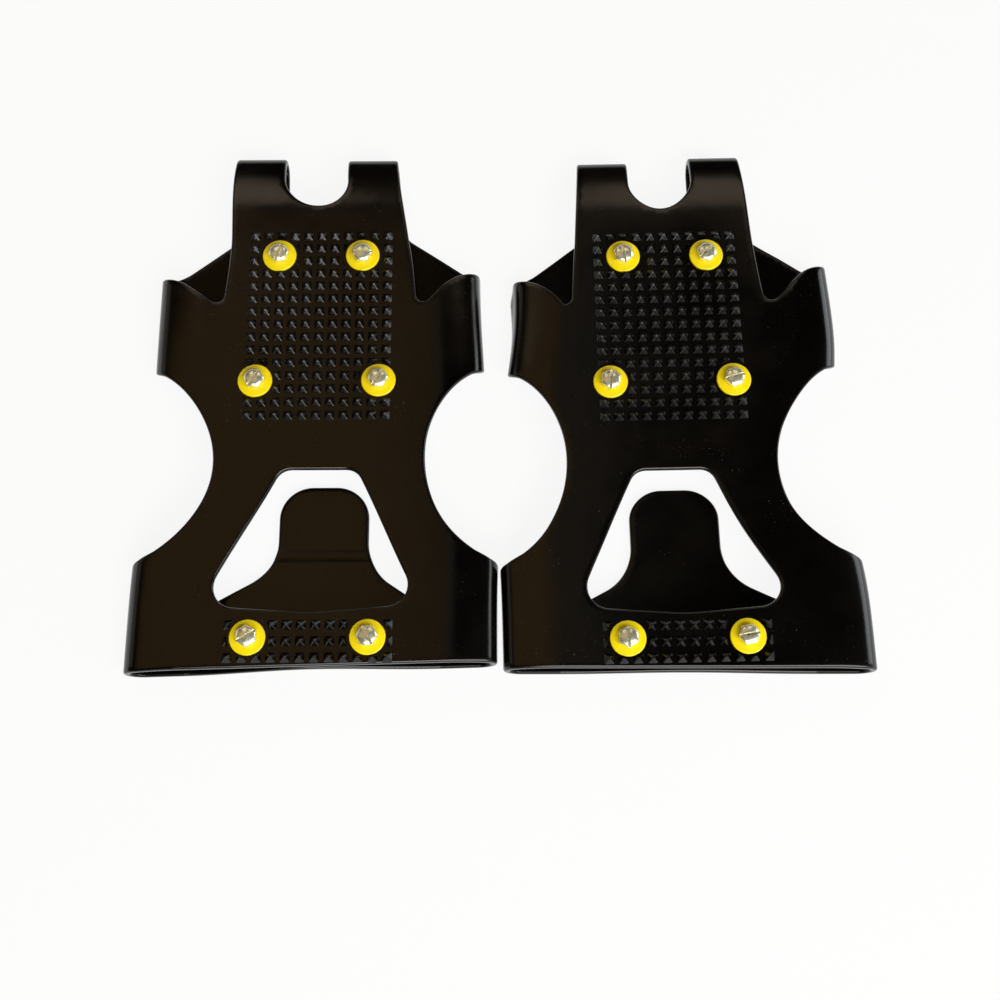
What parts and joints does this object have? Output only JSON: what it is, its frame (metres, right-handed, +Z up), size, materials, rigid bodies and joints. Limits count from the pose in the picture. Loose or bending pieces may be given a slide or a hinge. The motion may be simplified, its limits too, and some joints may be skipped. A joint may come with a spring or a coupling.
{
  "type": "ice cleat",
  "caption": "Pair of slip-on rubber ice cleats lying soles up, with pyramid tread, screw-in steel studs on round washers, toe straps, vamp band, heel band and pull tab.",
  "frame": {"origin": "on the ground, at the bottom centre of the pair's box", "axes": "+X across the pair to the right cleat, +Y towards the toes, +Z up out of the treads"},
  "size_m": [0.2617, 0.2028, 0.0193],
  "materials": {
    "rubber": "satin moulded rubber",
    "washer_plastic": "glossy yellow plastic",
    "stud_steel": "bright zinc-plated steel",
    "nut_steel": "dull zinc-plated steel"
  },
  "bodies": {
    "cleats": {"left_sole": "rubber", "left_forefoot_tread": "rubber", "left_heel_tread": "rubber", "left_vamp_band": "rubber", "left_heel_band": "rubber", "left_toe_left_nut": "nut_steel", "left_toe_right_nut": "nut_steel", "left_ball_left_nut": "nut_steel", "left_ball_right_nut": "nut_steel", "left_heel_left_nut": "nut_steel", "left_heel_right_nut": "nut_steel", "right_sole": "rubber", "right_forefoot_tread": "rubber", "right_heel_tread": "rubber", "right_vamp_band": "rubber", "right_heel_band": "rubber", "right_toe_left_nut": "nut_steel", "right_toe_right_nut": "nut_steel", "right_ball_left_nut": "nut_steel", "right_ball_right_nut": "nut_steel", "right_heel_left_nut": "nut_steel", "right_heel_right_nut": "nut_steel"},
    "left_pull_tab": {"left_pull_tab": "rubber"},
    "left_toe_left_washer": {"left_toe_left_washer": "washer_plastic"},
    "left_toe_left_stud": {"left_toe_left_stud": "stud_steel"},
    "left_toe_right_washer": {"left_toe_right_washer": "washer_plastic"},
    "left_toe_right_stud": {"left_toe_right_stud": "stud_steel"},
    "left_ball_left_washer": {"left_ball_left_washer": "washer_plastic"},
    "left_ball_left_stud": {"left_ball_left_stud": "stud_steel"},
    "left_ball_right_washer": {"left_ball_right_washer": "washer_plastic"},
    "left_ball_right_stud": {"left_ball_right_stud": "stud_steel"},
    "left_heel_left_washer": {"left_heel_left_washer": "washer_plastic"},
    "left_heel_left_stud": {"left_heel_left_stud": "stud_steel"},
    "left_heel_right_washer": {"left_heel_right_washer": "washer_plastic"},
    "left_heel_right_stud": {"left_heel_right_stud": "stud_steel"},
    "right_pull_tab": {"right_pull_tab": "rubber"},
    "right_toe_left_washer": {"right_toe_left_washer": "washer_plastic"},
    "right_toe_left_stud": {"right_toe_left_stud": "stud_steel"},
    "right_toe_right_washer": {"right_toe_right_washer": "washer_plastic"},
    "right_toe_right_stud": {"right_toe_right_stud": "stud_steel"},
    "right_ball_left_washer": {"right_ball_left_washer": "washer_plastic"},
    "right_ball_left_stud": {"right_ball_left_stud": "stud_steel"},
    "right_ball_right_washer": {"right_ball_right_washer": "washer_plastic"},
    "right_ball_right_stud": {"right_ball_right_stud": "stud_steel"},
    "right_heel_left_washer": {"right_heel_left_washer": "washer_plastic"},
    "right_heel_left_stud": {"right_heel_left_stud": "stud_steel"},
    "right_heel_right_washer": {"right_heel_right_washer": "washer_plastic"},
    "right_heel_right_stud": {"right_heel_right_stud": "stud_steel"}
  },
  "joints": [
    {"name": "left_tab_flex", "type": "hinge", "parent": "cleats", "child": "left_pull_tab", "pos_m": [-0.06585, -0.05695, 0.0026], "axis": [1, 0.0052, 0], "range_deg": [0, 80], "stiffness_Nm_per_rad": 0.004},
    {"name": "left_toe_left_lift", "type": "slide", "parent": "cleats", "child": "left_toe_left_washer", "axis": [0, 0, 1], "range_m": [0, 0.004]},
    {"name": "left_toe_left_turn", "type": "hinge", "parent": "left_toe_left_washer", "child": "left_toe_left_stud", "pos_m": [-0.08205, 0.05622, 0.0163], "axis": [0, 0, 1], "continuous": true},
    {"name": "left_toe_right_lift", "type": "slide", "parent": "cleats", "child": "left_toe_right_washer", "axis": [0, 0, 1], "range_m": [0, 0.004]},
    {"name": "left_toe_right_turn", "type": "hinge", "parent": "left_toe_right_washer", "child": "left_toe_right_stud", "pos_m": [-0.05085, 0.05638, 0.0163], "axis": [0, 0, 1], "continuous": true},
    {"name": "left_ball_left_lift", "type": "slide", "parent": "cleats", "child": "left_ball_left_washer", "axis": [0, 0, 1], "range_m": [0, 0.004]},
    {"name": "left_ball_left_turn", "type": "hinge", "parent": "left_ball_left_washer", "child": "left_ball_left_stud", "pos_m": [-0.08868, 0.00578, 0.0163], "axis": [0, 0, 1], "continuous": true},
    {"name": "left_ball_right_lift", "type": "slide", "parent": "cleats", "child": "left_ball_right_washer", "axis": [0, 0, 1], "range_m": [0, 0.004]},
    {"name": "left_ball_right_turn", "type": "hinge", "parent": "left_ball_right_washer", "child": "left_ball_right_stud", "pos_m": [-0.04368, 0.00602, 0.0163], "axis": [0, 0, 1], "continuous": true},
    {"name": "left_heel_left_lift", "type": "slide", "parent": "cleats", "child": "left_heel_left_washer", "axis": [0, 0, 1], "range_m": [0, 0.004]},
    {"name": "left_heel_left_turn", "type": "hinge", "parent": "left_heel_left_washer", "child": "left_heel_left_stud", "pos_m": [-0.08638, -0.08921, 0.0163], "axis": [0, 0, 1], "continuous": true},
    {"name": "left_heel_right_lift", "type": "slide", "parent": "cleats", "child": "left_heel_right_washer", "axis": [0, 0, 1], "range_m": [0, 0.004]},
    {"name": "left_heel_right_turn", "type": "hinge", "parent": "left_heel_right_washer", "child": "left_heel_right_stud", "pos_m": [-0.04498, -0.08899, 0.0163], "axis": [0, 0, 1], "continuous": true},
    {"name": "right_tab_flex", "type": "hinge", "parent": "cleats", "child": "right_pull_tab", "pos_m": [0.06485, -0.05693, 0.0026], "axis": [0.9998, 0.0209, 0], "range_deg": [0, 80], "stiffness_Nm_per_rad": 0.004},
    {"name": "right_toe_left_lift", "type": "slide", "parent": "cleats", "child": "right_toe_left_washer", "axis": [0, 0, 1], "range_m": [0, 0.004]},
    {"name": "right_toe_left_turn", "type": "hinge", "parent": "right_toe_left_washer", "child": "right_toe_left_stud", "pos_m": [0.04688, 0.05597, 0.0163], "axis": [0, 0, 1], "continuous": true},
    {"name": "right_toe_right_lift", "type": "slide", "parent": "cleats", "child": "right_toe_right_washer", "axis": [0, 0, 1], "range_m": [0, 0.004]},
    {"name": "right_toe_right_turn", "type": "hinge", "parent": "right_toe_right_washer", "child": "right_toe_right_stud", "pos_m": [0.07807, 0.05662, 0.0163], "axis": [0, 0, 1], "continuous": true},
    {"name": "right_ball_left_lift", "type": "slide", "parent": "cleats", "child": "right_ball_left_washer", "axis": [0, 0, 1], "range_m": [0, 0.004]},
    {"name": "right_ball_left_turn", "type": "hinge", "parent": "right_ball_left_washer", "child": "right_ball_left_stud", "pos_m": [0.04104, 0.00543, 0.0163], "axis": [0, 0, 1], "continuous": true},
    {"name": "right_ball_right_lift", "type": "slide", "parent": "cleats", "child": "right_ball_right_washer", "axis": [0, 0, 1], "range_m": [0, 0.004]},
    {"name": "right_ball_right_turn", "type": "hinge", "parent": "right_ball_right_washer", "child": "right_ball_right_stud", "pos_m": [0.08603, 0.00638, 0.0163], "axis": [0, 0, 1], "continuous": true},
    {"name": "right_heel_left_lift", "type": "slide", "parent": "cleats", "child": "right_heel_left_washer", "axis": [0, 0, 1], "range_m": [0, 0.004]},
    {"name": "right_heel_left_turn", "type": "hinge", "parent": "right_heel_left_washer", "child": "right_heel_left_stud", "pos_m": [0.04483, -0.08951, 0.0163], "axis": [0, 0, 1], "continuous": true},
    {"name": "right_heel_right_lift", "type": "slide", "parent": "cleats", "child": "right_heel_right_washer", "axis": [0, 0, 1], "range_m": [0, 0.004]},
    {"name": "right_heel_right_turn", "type": "hinge", "parent": "right_heel_right_washer", "child": "right_heel_right_stud", "pos_m": [0.08622, -0.08864, 0.0163], "axis": [0, 0, 1], "continuous": true}
  ],
  "couplings": [
    {"joint": "left_toe_left_turn", "follows": "left_toe_left_lift", "rad_per_m": 7854},
    {"joint": "left_toe_right_turn", "follows": "left_toe_right_lift", "rad_per_m": 7854},
    {"joint": "left_ball_left_turn", "follows": "left_ball_left_lift", "rad_per_m": 7854},
    {"joint": "left_ball_right_turn", "follows": "left_ball_right_lift", "rad_per_m": 7854},
    {"joint": "left_heel_left_turn", "follows": "left_heel_left_lift", "rad_per_m": 7854},
    {"joint": "left_heel_right_turn", "follows": "left_heel_right_lift", "rad_per_m": 7854},
    {"joint": "right_toe_left_turn", "follows": "right_toe_left_lift", "rad_per_m": 7854},
    {"joint": "right_toe_right_turn", "follows": "right_toe_right_lift", "rad_per_m": 7854},
    {"joint": "right_ball_left_turn", "follows": "right_ball_left_lift", "rad_per_m": 7854},
    {"joint": "right_ball_right_turn", "follows": "right_ball_right_lift", "rad_per_m": 7854},
    {"joint": "right_heel_left_turn", "follows": "right_heel_left_lift", "rad_per_m": 7854},
    {"joint": "right_heel_right_turn", "follows": "right_heel_right_lift", "rad_per_m": 7854}
  ]
}
